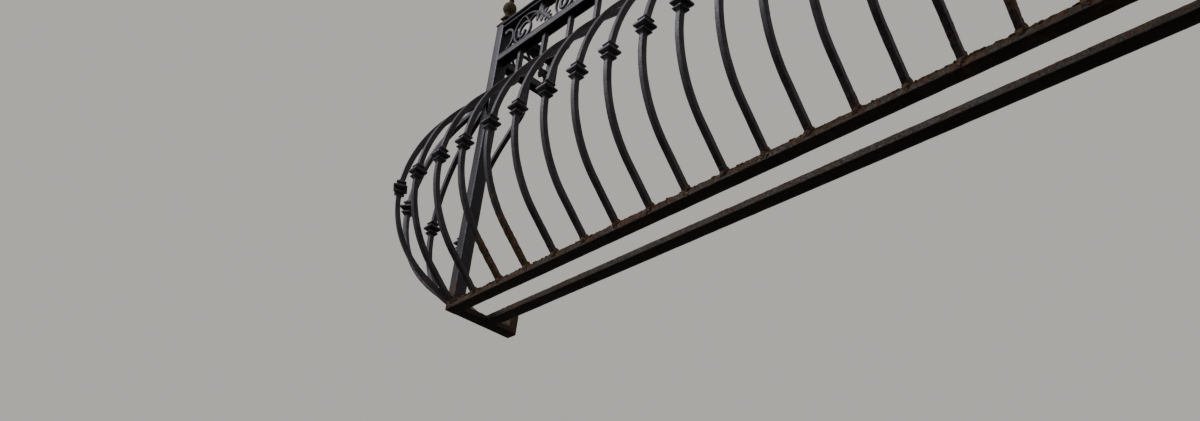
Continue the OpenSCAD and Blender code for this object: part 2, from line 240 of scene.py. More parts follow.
def square_rings(path, across, over, half_across, half_over, corner):
    """Rings of rounded rectangles along a path, and their outward directions."""
    half_across, half_over, corner = (
        np.broadcast_to(size, len(path))[:, None] for size in (half_across, half_over, corner))
    corner = np.minimum(corner, CORNER_LIMIT * np.minimum(half_across, half_over))
    u = SQUARE[:, 0] * (half_across - corner) + SQUARE[:, 2] * corner
    v = SQUARE[:, 1] * (half_over - corner) + SQUARE[:, 3] * corner
    return rings_of(path, across, over, np.stack([u, v], -1), SQUARE[:, 2:4])


def section_rings(path, across, over, section):
    """Rings of one section along a path, and their outward directions."""
    turn = np.roll(section, -1, 0) - np.roll(section, 1, 0)
    normal = np.stack([turn[:, 1], -turn[:, 0]], -1)
    normal /= np.maximum(np.linalg.norm(normal, axis=-1, keepdims=True), TINY)
    return rings_of(path, across, over, section, normal)


def add_object(name, data):
    thing = bpy.data.objects.new(name, data)
    bpy.context.scene.collection.objects.link(thing)
    return thing


class Piece:
    """Closed shells gathered into one object, each point with its share of edge wear and rust."""

    def __init__(self):
        self.points, self.faces, self.wear, self.rust, self.count = [], [], [], [], 0

    def shell(self, rings, wear, rust):
        """Adds a form through rings of points, closed at both ends and facing outward."""
        n, around = rings.shape[:2]
        index = np.arange(n * around).reshape(n, around) + self.count
        a, b = index[:-1], index[1:]
        quads = np.stack([a, np.roll(a, -1, 1), np.roll(b, -1, 1), b], -1).reshape(-1, 4)
        first, last = index[0][::-1].tolist(), index[-1].tolist()
        faces = quads.tolist() + [first, last]
        flat = rings.reshape(-1, 3)
        centre = flat.mean(0)
        p, q, r, s = (flat[quads[:, i] - self.count] - centre for i in range(4))
        volume = np.einsum("ij,ij->", np.cross(p, q), r) + np.einsum("ij,ij->", np.cross(p, r), s)
        if volume < 0:
            faces = [face[::-1] for face in faces]
        self.points.append(flat)
        self.faces += faces
        self.wear.append(np.broadcast_to(wear, (n, around)).reshape(-1))
        self.rust.append(np.broadcast_to(rust, (n, around)).reshape(-1))
        self.count += len(flat)
        return self

    def mirrored(self):
        """The same shells on the other side of the balcony's middle."""
        other = Piece()
        other.points = [p * [-1, 1, 1] + [2 * MIDDLE, 0, 0] for p in self.points]
        other.faces = [face[::-1] for face in self.faces]
        other.wear, other.rust, other.count = self.wear, self.rust, self.count
        return other

    def build(self, name, slot, *nodes, look=None):
        """Makes the object, in the material of its slot or in the one that look names."""
        points = np.clip(np.concatenate(self.points), BOX_LOW, BOX_HIGH)
        mesh = bpy.data.meshes.new(name)
        mesh.from_pydata(points.tolist(), [], self.faces)
        for field, values in (("wear", self.wear), ("rust", self.rust)):
            layer = mesh.attributes.new(field, "FLOAT", "POINT")
            layer.data.foreach_set("value", np.concatenate(values).astype(np.float32))
        mesh.shade_smooth()
        mesh.set_sharp_from_angle(angle=SHARP)
        mesh.materials.append(MATERIALS[look or slot])
        thing = add_object(name, mesh)
        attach(thing, "root")
        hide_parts(*nodes)


def on_both_sides(piece, name, slot, node, look=None):
    """Builds a piece for the left end and its mirror image for the right end."""
    piece.build(name.format("left"), slot, node.format("left"), look=look)
    piece.mirrored().build(name.format("right"), slot, node.format("right"), look=look)


def hammered(rings, outward, height, seed):
    """Slow hammer marks and fine scale over forged iron."""
    marks = uneven(rings, (34, 0.7), (13, 0.3), seed)
    return rings + outward * (marks * height)[..., None]


def flaked(rings, outward, rust, height, seed):
    """Blisters and flakes where the rust is strong."""
    blisters = np.maximum(0, noise(rings, 9 * MM, seed + 5) + 0.15) + 0.5 * noise(rings, 4 * MM, seed + 6)
    return rings + outward * (blisters * rust * height)[..., None]


def bar_line(reach):
    """Centre line of a baluster as (outward, height), distances along it, and the radius of its upper belly."""
    rise = BEND_HEIGHT - BELLY_HEIGHT
    slope = 2 * math.atan(reach / (rise + SLOPE_LENGTH))
    upper = (rise - SLOPE_LENGTH * math.cos(slope)) / math.sin(slope) - BEND_RADIUS
    foot = np.array([BAR_SETBACK - FOOT_SETBACK, BASE_TOP - UNDER])
    drop, inward = BELLY_HEIGHT - foot[1], reach - foot[0]
    lower = min(SWEEP_RADIUS, SWEEP_LIMIT * (inward * inward + drop * drop) / (2 * inward))
    to_foot = foot - (reach - lower, BELLY_HEIGHT)
    tangent = math.atan2(to_foot[1], to_foot[0]) + math.acos(lower / np.linalg.norm(to_foot))
    head = np.linspace(RAIL_HIGH.z - UNDER - BAR_HEAD_DROP, BEND_HEIGHT, 20)[:, None] * (0, 1)
    bend = on_circle((BEND_RADIUS, BEND_HEIGHT), -BEND_RADIUS, np.linspace(0, slope, 40)[1:])
    belly = on_circle((reach - upper, BELLY_HEIGHT), upper, np.linspace(slope, 0, 300)[1:])
    sweep = on_circle((reach - lower, BELLY_HEIGHT), lower, np.linspace(0, tangent, 300)[1:])
    end = foot + (foot - sweep[-1]) / np.linalg.norm(foot - sweep[-1]) * FOOT_INTO_BASE
    line = np.concatenate([head, bend, belly, sweep, [end]])
    along = np.concatenate([[0], np.cumsum(np.linalg.norm(np.diff(line, axis=0), axis=1))])
    return line, along, upper


def resample(line, along, places):
    """Points of a line at given distances along it, and the direction of travel there."""
    def pick(at):
        return np.stack([np.interp(at, along, line[:, k]) for k in range(line.shape[1])], 1)

    ahead = pick(np.minimum(places + MM, along[-1])) - pick(np.maximum(places - MM, 0))
    return pick(places), ahead / np.linalg.norm(ahead, axis=1, keepdims=True)


def bar_stations(reach, rise, from_height):
    """Points down a bar as (outward, height), the way ahead, half widths, and which are the knuckle's."""
    line, along, upper = bar_line(reach)
    tilt = math.asin(rise / upper)
    knuckle_at = np.array([reach - upper * (1 - math.cos(tilt)), BELLY_HEIGHT + rise])
    middle = along[np.argmin(np.linalg.norm(line - knuckle_at, axis=1))]
    start = along[np.argmax(line[:, 1] < from_height)]
    before = np.arange(start, middle - KNUCKLE_HALF, 6 * MM)
    after = np.arange(middle + KNUCKLE_HALF + 2 * MM, along[-1], 4.2 * MM)
    places = np.concatenate([before, middle + KNUCKLE[:, 0] * KNUCKLE_HALF, after, [along[-1]]])
    half = np.concatenate([np.full(len(before), BAR / 2), KNUCKLE[:, 1] * MM, np.full(len(after) + 1, BAR / 2)])
    is_knuckle = np.zeros(len(places), bool)
    is_knuckle[len(before):len(before) + len(KNUCKLE)] = True
    flat, ahead = resample(line, along, places)
    slant = np.array([math.sin(tilt), -math.cos(tilt)])
    flat[is_knuckle] = knuckle_at + KNUCKLE[:, :1] * KNUCKLE_HALF * slant
    ahead[is_knuckle] = slant
    return flat, ahead, half, is_knuckle


def baluster(origin, heading, reach, rise, age, seed, from_height=math.inf, reddened=0.2):
    """A forged bar with its knuckle at a rise over the belly; age is how far its rust has gone, reddened how high."""
    out = np.array([-math.sin(heading), -math.cos(heading), 0])
    across = np.array([math.cos(heading), -math.sin(heading), 0])
    flat, ahead, half, is_knuckle = bar_stations(reach, rise, from_height)
    path = np.array(origin) + flat[:, :1] * out + (flat[:, 1:] + UNDER) * Z
    over = -ahead[:, 1:] * out + ahead[:, :1] * Z
    corner = np.where(is_knuckle, KNUCKLE_CORNER, BAR_CORNER)
    rings, outward = square_rings(path, across, over, half, half, corner)
    height = flat[:, 1:]
    patches = 0.5 + 0.5 * noise(rings, 45 * MM, seed + 2)
    spread = age * fading(height, reddened, 0.2) * (0.2 + 0.95 * patches)
    at_foot = fading(height, 0.062, 0.04) * (0.4 + 0.5 * patches)
    rust = np.clip(np.maximum(spread, at_foot), 0, 1)
    rings = hammered(rings, outward, 0.42 * MM, seed)
    rings = flaked(rings, outward, rust, (0.5 + age) * MM, seed)
    piece = Piece().shell(rings, EDGE * np.where(is_knuckle, 1.0, 0.8)[:, None], rust)
    weld_collar(piece, path[-1], across, out, BAR / 2, seed, age)
    weld_lumps(piece, path[-1], BAR / 2, seed, age)
    return piece


def lump(piece, centre, size, seed, rust):
    """A small irregular blob of weld or scale."""
    rise = np.linspace(0.2, math.pi - 0.2, 8)[:, None]
    around = all_round(12)
    ball = np.stack([np.sin(rise) * np.cos(around), np.sin(rise) * np.sin(around), np.cos(rise) + 0 * around], -1)
    rings = np.asarray(centre) + ball * size
    swell = uneven(rings, (5, 0.5), (2.4, 0.25), seed)
    piece.shell(rings + ball * swell[..., None] * size, 0.3, rust + 0.3 * swell)


def weld_lumps(piece, foot, half, seed, age):
    """Runs and spatter of weld round a foot, and down the face of the flat bar that carries it."""
    draw = np.random.default_rng(seed)
    edge = np.array([LEFT, FRONT]) - 1.5 * MM
    for turn in all_round(SPATTER_COUNT) + draw.uniform(-0.3, 0.3, SPATTER_COUNT):
        away = half + draw.uniform(*SPATTER_SPREAD) * MM
        place = np.maximum(on_circle(foot[:2], away, turn), edge)
        level = BASE_TOP + draw.uniform(*SPATTER_SPREAD) * MM
        lump(piece, (*place, level), draw.uniform(*SPATTER_SIZE) * MM, seed + 9, 0.55 + 0.35 * age)
    # A foot that stands over the side bar has no front face to run down
    if foot[0] - LEFT < half:
        return
    for _ in range(RUN_COUNT):
        place = (foot[0] + draw.uniform(-9, 9) * MM, FRONT - 0.4 * MM, BASE_TOP - draw.uniform(1, 13) * MM)
        lump(piece, place, draw.uniform(*RUN_SIZE) * MM, seed + 12, 0.5 + 0.4 * age)


def scale_lumps(piece, start, end, spacing, seed, size=1.0):
    """Blisters of scale scattered along an edge."""
    draw = np.random.default_rng(seed)
    start, run = np.asarray(start), np.asarray(end) - start
    for share in draw.uniform(0, 1, int(np.linalg.norm(run) / spacing)):
        place = start + share * run + draw.uniform(-1.2, 1.2, 3) * MM
        lump(piece, place, draw.uniform(*BLISTER_SIZE) * MM * size, seed + 3, 0.75)


def weld_collar(piece, centre, across, out, half, seed, age, size=1.0):
    """A lumpy bead of weld round a bar that stands on another."""
    spread = half + COLLAR_SPREAD * size
    path = track(centre[0], centre[1], BASE_TOP + COLLAR_LEVELS * size)
    rings, outward = square_rings(path, across, out, spread, spread, 5 * MM)
    lumps = uneven(rings, (10, 0.8), (4, 0.5), seed + 7)
    rings = rings + outward * (lumps * 2.2 * MM * size)[..., None]
    rings[..., 2] += lumps * 1.2 * MM * size
    piece.shell(rings, 0.2, 0.6 + 0.3 * age)


def weld_bead(piece, start, end, radius, seed):
    """A lumpy bead laid along a seam."""
    share = np.linspace(0, 1, 14)
    path = start + share[:, None] * (end - start)
    ahead = (end - start) / np.linalg.norm(end - start)
    across = np.array([-ahead[1], ahead[0], 0])
    swell = radius * np.sqrt(np.maximum(0.02, 1 - (2 * share - 1) ** 4)) * (1 + 0.15 * np.sin(share * 40))
    rings, outward = square_rings(path, across, Z, swell, swell * 0.7, swell)
    rings = rings + outward * (noise(rings, 5 * MM, seed) * 0.2 * radius)[..., None]
    piece.shell(rings, 0.3, 0.7)


def make_front_bars():
    """The bars of the front, more rusted towards the ends."""
    pitch = (RIGHT - LEFT - 2 * END_GAP) / (FRONT_COUNT - 1)
    for i in range(1, FRONT_COUNT + 1):
        place = (LEFT + END_GAP + pitch * (i - 1), FRONT + BAR_SETBACK, 0)
        from_end = min(i, FRONT_COUNT + 1 - i)
        age = 1.0 if from_end <= 4 else 0.75 if from_end <= 6 else 0.5
        reddened = REDDENED.get(from_end, REDDENED_OTHERS)
        rise = KNUCKLE_RISE + KNUCKLE_SHIFT.get(i, 0)
        bar = baluster(place, 0, BELLY_REACH, rise, age, 11 * i, reddened=reddened)
        bar.build(f"bar_front_{i}", "bar_paint", f"baluster_front_{i}")


def make_corner_bars():
    """The fan of bars at each corner, whose heads end at the bend, and the bar of each side."""
    centre = np.array([POST_X, POST_Y, 0])
    inward = BAR_SETBACK - POST / 2
    fan = (0, 0), (FAN_REACH, 1), (FAN_REACH, 1), (RETURN_REACH, 2)
    for i, (further, drops) in enumerate(fan, 1):
        turn = math.radians(FAN_TURN * (i - 1))
        out = np.array([-math.sin(turn), -math.cos(turn), 0])
        rise = KNUCKLE_RISE - drops * KNUCKLE_DROP
        bar = baluster(centre - out * inward, turn, BELLY_REACH + further, rise, 0.8, 300 + 11 * i, BEND_HEIGHT)
        on_both_sides(bar, f"bar_corner_{{}}_{i}", "bar_paint", f"baluster_corner_{{}}_{i}")
    place = (LEFT + BAR_SETBACK, (FRONT + POST) / 2, 0)
    bar = baluster(place, math.pi / 2, BELLY_REACH + RETURN_REACH, KNUCKLE_RISE - 2 * KNUCKLE_DROP, 0.7, 400)
    on_both_sides(bar, "bar_return_{}", "bar_paint", "baluster_return_{}")


def make_posts():
    """The square corner posts, rusted low down and welded to the base."""
    heights = np.concatenate([np.arange(BASE_TOP, TOP, 8 * MM), [TOP]])
    path = track(POST_X, POST_Y, heights)
    rings, outward = square_rings(path, X, Y, POST / 2, POST / 2, 2.4 * MM)
    low = fading(heights - UNDER, 0.16, 0.14)[:, None]
    rust = np.clip(low * (0.5 + 0.6 * noise(rings, 40 * MM, 50)), 0, 1)
    marks = 0.25 * MM
    rings = flaked(hammered(rings, outward, marks, 51) - outward * marks, outward, rust, 0.7 * MM, 52)
    piece = Piece().shell(rings, EDGE * 0.9, rust)
    weld_collar(piece, path[0], X, Y, POST / 2, 53, 0.7, 0.8)
    on_both_sides(piece, "corner_post_{}", "rail_paint", "post_{}")


def lathe(piece, foot, axis, across, outline, seed, rust):
    """A turned form from (height, radius) points, a little lumpy with rust."""
    around = all_round(36)
    heights, radii = np.array(outline).T
    steps = np.linspace(0, 1, len(heights))
    fine = np.linspace(0, 1, 4 * len(heights) - 3)
    heights, radii = np.interp(fine, steps, heights), np.interp(fine, steps, radii)
    circle = np.cos(around)[:, None] * across + np.sin(around)[:, None] * Y
    rings = foot + heights[:, None, None] * axis + radii[:, None, None] * circle
    lumps = uneven(rings, (11, 0.5), (4.5, 0.35), seed)
    swell = (lumps * 0.9 - 0.35) * MM * np.minimum(1, radii / (6 * MM))[:, None]
    piece.shell(rings + swell[..., None] * circle, 0.35 + 0.4 * (lumps > 0.3), rust + 0.3 * lumps)


def bevelled_plate(piece, foot, axis, across, half, thickness, seed):
    """A square plate with bevelled edges."""
    levels = np.array([0, 0.14, 0.33, 0.67, 0.86, 1]) * thickness
    widths = half - np.array([0.32, 0.12, 0, 0, 0.12, 0.32]) * thickness
    rings, outward = square_rings(foot + levels[:, None] * axis, across, Y, widths, widths, 1.5 * MM)
    rings = rings + outward * (noise(rings, 8 * MM, seed) * 0.5 - 0.5)[..., None] * MM
    piece.shell(rings, EDGE, 0.65)


def turned(shares, length, base=0.0):
    """Outline points (height, radius) from their shares of a length and of the finial's radius."""
    return [(base + length * up, FINIAL_RADIUS * wide) for up, wide in shares]


def make_finials():
    """Cap plate, turned stem, second plate and leaning ball with its bud, on each post."""
    piece = Piece()
    foot = np.array([POST_X, POST_Y, TOP])
    bevelled_plate(piece, foot, Z, X, 23 * MM, CAP, 60)
    outline = turned(STEM_OUTLINE, STEM) + [(STEM + 3 * MM, FINIAL_RADIUS * 0.48)]
    lathe(piece, foot + Z * (CAP - 1 * MM), Z, X, outline, 61, 0.8)
    tilted = np.array([math.sin(FINIAL_LEAN), 0, math.cos(FINIAL_LEAN)])
    side = np.array([math.cos(FINIAL_LEAN), 0, -math.sin(FINIAL_LEAN)])
    seat = foot + Z * CAP + tilted * STEM
    bevelled_plate(piece, seat, tilted, side, 18 * MM, PLATE, 62)
    ball, radius = NECK + FINIAL_RADIUS * 0.88, FINIAL_RADIUS
    outline = turned(NECK_OUTLINE, NECK)
    outline += [(ball - radius * math.cos(t), radius * math.sin(t)) for t in np.linspace(0.66, 2.72, 15)]
    outline += turned(BUD_OUTLINE, BUD, ball + radius - 3 * MM)
    lathe(piece, seat + tilted * PLATE, tilted, side, outline, 63, 0.75)
    high = np.array(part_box("finial_left")[1])
    piece.points = [np.minimum(p, high) for p in piece.points]
    on_both_sides(piece, "ball_finial_{}", "finial_rust", "finial_{}")


def flat_bar(start, end, across, half_across, seed, rust_top):
    """A forged flat bar of the base, rusted and lumpy along its upper edges, smooth below."""
    start, end = np.array(start), np.array(end)
    count = max(2, int(np.linalg.norm(end - start) / (6 * MM)))
    path = start + np.linspace(0, 1, count + 1)[:, None] * (end - start)
    rings, outward = square_rings(path, across, Z, half_across, BASE_HALF, 2.5 * MM)
    upper = np.clip((rings[..., 2] - path[:, None, 2]) / BASE_HALF, -1, 1) * 0.5 + 0.5
    patches = 0.5 + 0.5 * noise(rings, 60 * MM, seed)
    rust = np.clip(rust_top * (0.25 + upper) * (0.3 + patches), 0, 1)
    marks = 0.5 * MM
    rings = hammered(rings, outward, marks, seed) - outward * marks
    blisters = flaked(rings, outward, rust, 1.5 * MM, seed) - rings
    keep = np.where(outward[..., 2:] < -0.5, 0.0, 1.0)
    return Piece().shell(rings + blisters * keep, EDGE, rust)


def make_base_front():
    """The front flat bar, with scale along its upper edges, heaviest near the left corner."""
    low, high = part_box("base_front_bar")
    y, deep = middle_and_half(low.y, high.y)
    piece = flat_bar((LEFT, y, BASE_LEVEL), (RIGHT, y, BASE_LEVEL), Y, deep, 70, 0.9)
    y, z = FRONT + 2 * MM, BASE_TOP - 2 * MM
    scale_lumps(piece, (LEFT, y, z), (RIGHT, y, z), 12 * MM, 71, 1.4)
    y = FRONT + 3 * MM
    scale_lumps(piece, (LEFT + 30 * MM, y, z), (LEFT + 280 * MM, y, z), 7 * MM, 72, 1.9)
    y = FRONT + 12 * MM
    scale_lumps(piece, (LEFT, y, BASE_TOP), (RIGHT, y, BASE_TOP), 30 * MM, 73)
    piece.build("base_front", "base_rust", "base_front_bar")


def make_base_inner():
    """The inner flat bar, let into the side ones."""
    low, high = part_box("base_inner_bar")
    y, deep = middle_and_half(low.y, high.y)
    into_side = 2 * MM
    start, end = (low.x - into_side, y, BASE_LEVEL), (high.x + into_side, y, BASE_LEVEL)
    flat_bar(start, end, Y, deep, 74, 0.45).build("base_inner", "base_rust", "base_inner_bar")


def wall_lug(piece, x, wide, top):
    """The end of a side bar, turned up against the wall."""
    run, first_height, chamfer = 28 * MM, 46 * MM, 1.5 * MM
    rear = np.array([-run, -run + chamfer, -0.6 * run, -0.3 * run, -0.15 * run, -0.08 * run, 0])
    tops = UNDER + np.interp(rear, [-run, -0.15 * run], [first_height, top - UNDER])
    tops[0] -= chamfer
    rings, outward = square_rings(track(x, rear, (tops + UNDER) / 2), X, Z, wide, (tops - UNDER) / 2, 2.5 * MM)
    piece.shell(rings - outward * (0.3 + 0.3 * noise(rings, 18 * MM, 80))[..., None] * MM, EDGE, 0.4)


def make_base_sides():
    """The side flat bars with their lugs, the weld at the inner bar, and scale at the corner and outer edge."""
    low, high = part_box("base_side_left")
    x, wide = middle_and_half(low.x, high.x)
    piece = flat_bar((x, low.y - 3 * MM, BASE_LEVEL), (x, -6 * MM, BASE_LEVEL), X, wide, 78, 0.5)
    wall_lug(piece, x, wide, high.z)
    seam = np.array([high.x - 3 * MM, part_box("base_inner_bar")[0].y + 8 * MM, BASE_TOP])
    weld_bead(piece, seam, seam + 26 * MM * Y, 5 * MM, 81)
    tip = np.array([LEFT + 3 * MM, FRONT + 3 * MM, 0])
    scale_lumps(piece, tip + (UNDER + 3 * MM) * Z, tip + BASE_TOP * Z, 3.5 * MM, 82)
    x, z = LEFT + 2 * MM, BASE_TOP - 2 * MM
    scale_lumps(piece, (x, FRONT, z), (x, 0, z), 14 * MM, 83, 1.4)
    on_both_sides(piece, "base_side_and_lug_{}", "base_rust", "base_side_{}")


def handrail_section():
    """Flat bar with beaded arrises under a cap with rounded noses: (across, over) from its underside."""
    half = [(0.0, 0.0), (9.0, 0.0), (16.0, 0.1), (18.6, 0.5), (19.7, 1.7), (20.0, 3.6), (19.6, 5.4), (18.6, 6.6),
            (18.3, 8.6), (18.8, 9.6), (20.6, 10.0)]
    nose, radius = (20.3, 15.9), 5.6
    half += on_circle(nose, radius, np.linspace(-1.25, 1.4, 9)).tolist()
    half += [(17.0, 21.6), (9.0, 21.9), (0.0, 22.0)]
    other = [(-a, b) for a, b in half[-2:0:-1]]
    return np.array(half + other) * MM


def channel_section():
    """Channel that opens downwards, with a fillet strip along the foot of each side, from its front foot."""
    width, height, wall = (RAIL_HIGH.y - RAIL_LOW.y) / MM, (RAIL_HIGH.z - RAIL_LOW.z) / MM, 5
    strip, recess = 9.5, 1.2
    points = [(0.8, 0), (0, 0.8), (0, 3), (0, 6.5), (0, strip - 0.8), (0.5, strip), (1.0, strip + 0.6),
              (recess, strip + 2), (recess, height - 5), (1.0, height - 3.4), (0.3, height - 2.6), (0, height - 1.6),
              (0.3, height - 0.4), (1.2, height), (width / 4, height), (width / 2, height)]
    mirrored = [(width - a, b) for a, b in points[-2::-1]]
    inner = [(width - wall, 0), (width - wall, height / 2), (width - wall - 1, height - wall),
             (width / 2, height - wall), (wall + 1, height - wall), (wall, height / 2), (wall, 0)]
    return np.array(points + mirrored + inner) * MM


def swept_rail(path, across, over, section, seed):
    """A rolled section along a path, a little uneven, worn at its sharper corners."""
    rings, outward = section_rings(path, across, over, section)
    patches = noise(rings, 70 * MM, seed)
    rings = rings - outward * (0.2 + 0.2 * noise(rings, 38 * MM, seed + 1))[..., None] * MM
    bend = np.roll(section, 1, 0) + np.roll(section, -1, 0) - 2 * section
    wear = np.clip(np.linalg.norm(bend, axis=1) / (2.5 * MM), 0, 1)
    return Piece().shell(rings, wear, np.clip(0.15 * (1 + 1.5 * patches), 0, 1))


def front_run():
    return even(LEFT + POST - INTO_POST, RIGHT - POST + INTO_POST, 11 * MM)


def side_run(end):
    return even(FRONT + POST - INTO_POST, end, 10 * MM)


def make_handrails():
    """The moulded handrail of the front and of each side."""
    section = handrail_section()
    front = swept_rail(track(front_run(), POST_Y, HANDRAIL_LOW.z), Y, Z, section, 90)
    front.build("moulded_handrail_front", "rail_paint", "handrail_front")
    side = swept_rail(track(POST_X, side_run(0), HANDRAIL_LOW.z), X, Z, section, 92)
    on_both_sides(side, "moulded_handrail_{}", "rail_paint", "handrail_{}")


def make_front_channel():
    piece = swept_rail(track(front_run(), FRONT, RAIL_LOW.z), Y, Z, channel_section(), 94)
    # Its look is the rail paint made lighter, a painted highlight for the lit front face, with more dust
    piece.build("frieze_channel_front", "rail_paint", "frieze_rail_front", look="lit_dusty_channel_paint")


def make_side_channels():
    """The channel under each side frieze, which turns up into the upright at the wall."""
    corner = (RAIL_HIGH.z - RAIL_LOW.z) * 1.4
    t = np.linspace(0, math.pi / 2, 16)[1:-1]
    level = track(LEFT, side_run(-corner), RAIL_LOW.z)
    turn = track(LEFT, -corner + corner * np.sin(t), RAIL_LOW.z + corner - corner * np.cos(t))
    upright = track(LEFT, 0, even(RAIL_LOW.z + corner, HANDRAIL_LOW.z, 10 * MM))
    over = np.concatenate([
        np.tile(Z, (len(level), 1)), track(0, -np.sin(t), np.cos(t)), np.tile(-Y, (len(upright), 1))])
    piece = swept_rail(np.concatenate([level, turn, upright]), X, over, channel_section(), 96)
    # Its look is the rail paint made lighter, a painted highlight for the lit front face, with more dust
    on_both_sides(piece, "frieze_channel_{}", "rail_paint", "frieze_rail_{}", "lit_dusty_channel_paint")


# Scrollwork: strokes are drawn in the plane of the frieze, x along it and y up from the lower rail
class Frieze:
    """Gathers strokes and leaves of one frieze panel and sets them in place."""

    def __init__(self, origin, along, outward, run):
        self.origin, self.along, self.outward, self.run = map(np.asarray, (origin, along, outward, run))
        self.piece, self.shift, self.flip = Piece(), 0.0, False

    def lay(self, line, width, depth, rib=0.0):
        """A crowned band along a line, its width given at each point; rib raises its middle."""
        line = np.array(line, float) + (self.shift, 0)
        if self.flip:
            line[:, 0] = self.run - line[:, 0]
        width = np.broadcast_to(width, len(line))[:, None]
        depth = np.broadcast_to(depth, len(line))[:, None]
        inside = (line[:, 0] > 0) & (line[:, 0] < self.run)
        if inside.sum() < 3:
            return
        line, width, depth = line[inside], width[inside], depth[inside]
        ahead = np.gradient(line, axis=0)
        ahead /= np.maximum(np.linalg.norm(ahead, axis=1, keepdims=True), TINY)
        side = np.stack([-ahead[:, 1], ahead[:, 0]], 1)
        cos, sin = np.cos(all_round(16)), np.sin(all_round(16))
        u = np.sign(cos) * np.abs(cos) ** 0.8 * width / 2
        v = np.sign(sin) * np.abs(sin) ** 0.7 * depth * (1 - rib + rib * np.abs(sin) ** 6)
        flat = line[:, None] + u[..., None] * side[:, None]
        flat[..., 0] = np.clip(flat[..., 0], 0, self.run)
        flat[..., 1] = np.clip(flat[..., 1], 0, FRIEZE_HEIGHT)
        rings = self.origin + flat[..., :1] * self.along + flat[..., 1:] * Z + v[..., None] * self.outward
        self.piece.shell(rings, 0.55 * np.abs(sin) ** 4, 0.12 + 0.12 * noise(rings, 30 * MM, 7))

    def arc(self, centre, radius, start, end, width, taper):
        """A band along an arc between two angles in degrees; taper scales its width at each end."""
        t = np.radians(np.linspace(start, end, max(6, int(abs(end - start) / 9))))
        self.lay(on_circle(centre, radius, t), width * np.linspace(*taper, len(t)), RELIEF * 0.46)

    def leaf(self, start, end, breadth, bow=0.0, thick=1.0):
        """A pointed leaf with a raised rib, bowed to one side."""
        start, end = np.asarray(start, float), np.asarray(end, float)
        share = np.linspace(0.015, 0.985, 15)
        side = np.array([-(end - start)[1], (end - start)[0]])
        line = start + share[:, None] * (end - start) + (bow * 4 * share * (1 - share))[:, None] * side
        swell = (4 * share * (1 - share)) ** 0.8
        self.lay(line, breadth * swell, RELIEF * (0.2 + 0.27 * swell) * thick, 0.5)

    def lobed_leaf(self, start, end, breadth, bow=0.0):
        """A leaf with pointed lobes along both sides, as on an acanthus."""
        start, end = np.asarray(start, float), np.asarray(end, float)
        run = end - start
        length = np.linalg.norm(run)
        side = np.array([-run[1], run[0]])
        self.leaf(start, end, breadth * 0.66, bow)
        for share, size in ((0.04, 1.1), (0.27, 1.05), (0.5, 0.8), (0.7, 0.5)):
            root = start + share * run + bow * 4 * share * (1 - share) * side
            for way in (-1, 1):
                tip = root + breadth * size * (0.6 * run + way * 0.82 * side) / length
                self.leaf(root, tip, breadth * 0.62 * size, way * -0.1, 0.9)

    def knob(self, centre, radius):
        """A round boss, as at the end of a spiral."""
        t = np.linspace(0.12, math.pi - 0.12, 9)
        line = np.asarray(centre) + np.stack([-radius * np.cos(t), 0 * t], 1)
        self.lay(line, 2 * radius * np.sin(t), RELIEF * 0.5 * np.sin(t) ** 0.5)

    def mound(self, x, breadth, height):
        """A low hump on the rail."""
        self.leaf((x - breadth / 2, 0), (x + breadth / 2, 0), 2 * height)


def scroll_motif(f, leaf):
    """An arch with a spiral under it and curled leaves at its foot."""
    mid = FRIEZE_HEIGHT / 2
    radius = mid - BAND / 2 + 0.4 * MM
    drop = FRIEZE_HEIGHT * 0.26
    far = (leaf * leaf + drop * drop) / (2 * drop)
    turn = math.degrees(math.asin(leaf / far))
    centre = np.array([SCROLL_RADIUS * 0.2, FRIEZE_HEIGHT * 0.4])
    f.arc((0, mid), radius, 90, 254, BAND, (1.0, 0.7))
    f.arc((0, mid + radius - far), far, 90, 90 - turn, BAND, (1.0, 0.8))
    top = on_circle(centre, SCROLL_RADIUS, math.radians(50))
    share = np.linspace(0, 1, 10)[:, None]
    line = (1 - share) * (-2 * MM, mid + radius) + share * top + 4 * share * (1 - share) * (2 * MM, 1.5 * MM)
    f.lay(line, BAND * 0.8, RELIEF * 0.45)
    second, spiral_end = SCROLL_RADIUS * 0.52, 352
    inner = centre - (SCROLL_RADIUS - second, 0)
    f.arc(centre, SCROLL_RADIUS, -88, 180, BAND, (0.8, 1.35))
    f.arc(inner, second, 180, spiral_end, BAND, (1.7, 1.0))
    f.knob(on_circle(inner, second, math.radians(spiral_end)), BAND * 0.66)
    for x, breadth, height in ((-24, 42, 13), (8, 40, 15)):
        f.mound(x * MM, breadth * MM, height * MM)
    f.leaf((-30 * MM, 2 * MM), (-43 * MM, 20 * MM), 8 * MM, 0.15)
    f.leaf((22 * MM, 2 * MM), (33 * MM, 16 * MM), 7 * MM, -0.15)


def calyx(f, x):
    """A star of leaves where an arch ends, an arm up to the handrail and a tendril to the spiral."""
    y = FRIEZE_HEIGHT * 0.73
    tendril, arm = FRIEZE_HEIGHT * 0.34, FRIEZE_HEIGHT * 0.31
    f.arc((x - 21 * MM, y - tendril + 1 * MM), tendril, 66, 114 + (x - SIDE_LEAF) / MM, BAND * 0.85, (1.0, 0.6))
    f.arc((x + arm - 2 * MM, y + 2 * MM), arm, 178, 98, BAND * 0.85, (1.0, 0.7))
    # Bowed leaves from start to end, then straight ones from the middle to their tips, in millimetres
    for start, end, breadth, bow in (((-6, 8), (24, -20), 20, 0.06), ((-8, -8), (12, 24), 13, -0.08),
                                     ((0, 4), (-14, -22), 11, 0.1)):
        f.leaf((x + start[0] * MM, y + start[1] * MM), (x + end[0] * MM, y + end[1] * MM), breadth * MM, bow)
    f.lobed_leaf((x - 14 * MM, y + 4 * MM), (x + 80 * MM, 3 * MM), 30 * MM, 0.04)
    for tip, breadth in (((10, 24), 10), ((27, 12), 11), ((-24, -6), 9), ((-4, -24), 9)):
        f.leaf((x, y), (x + tip[0] * MM, y + tip[1] * MM), breadth * MM)
    f.knob((x, y), BAND * 0.6)


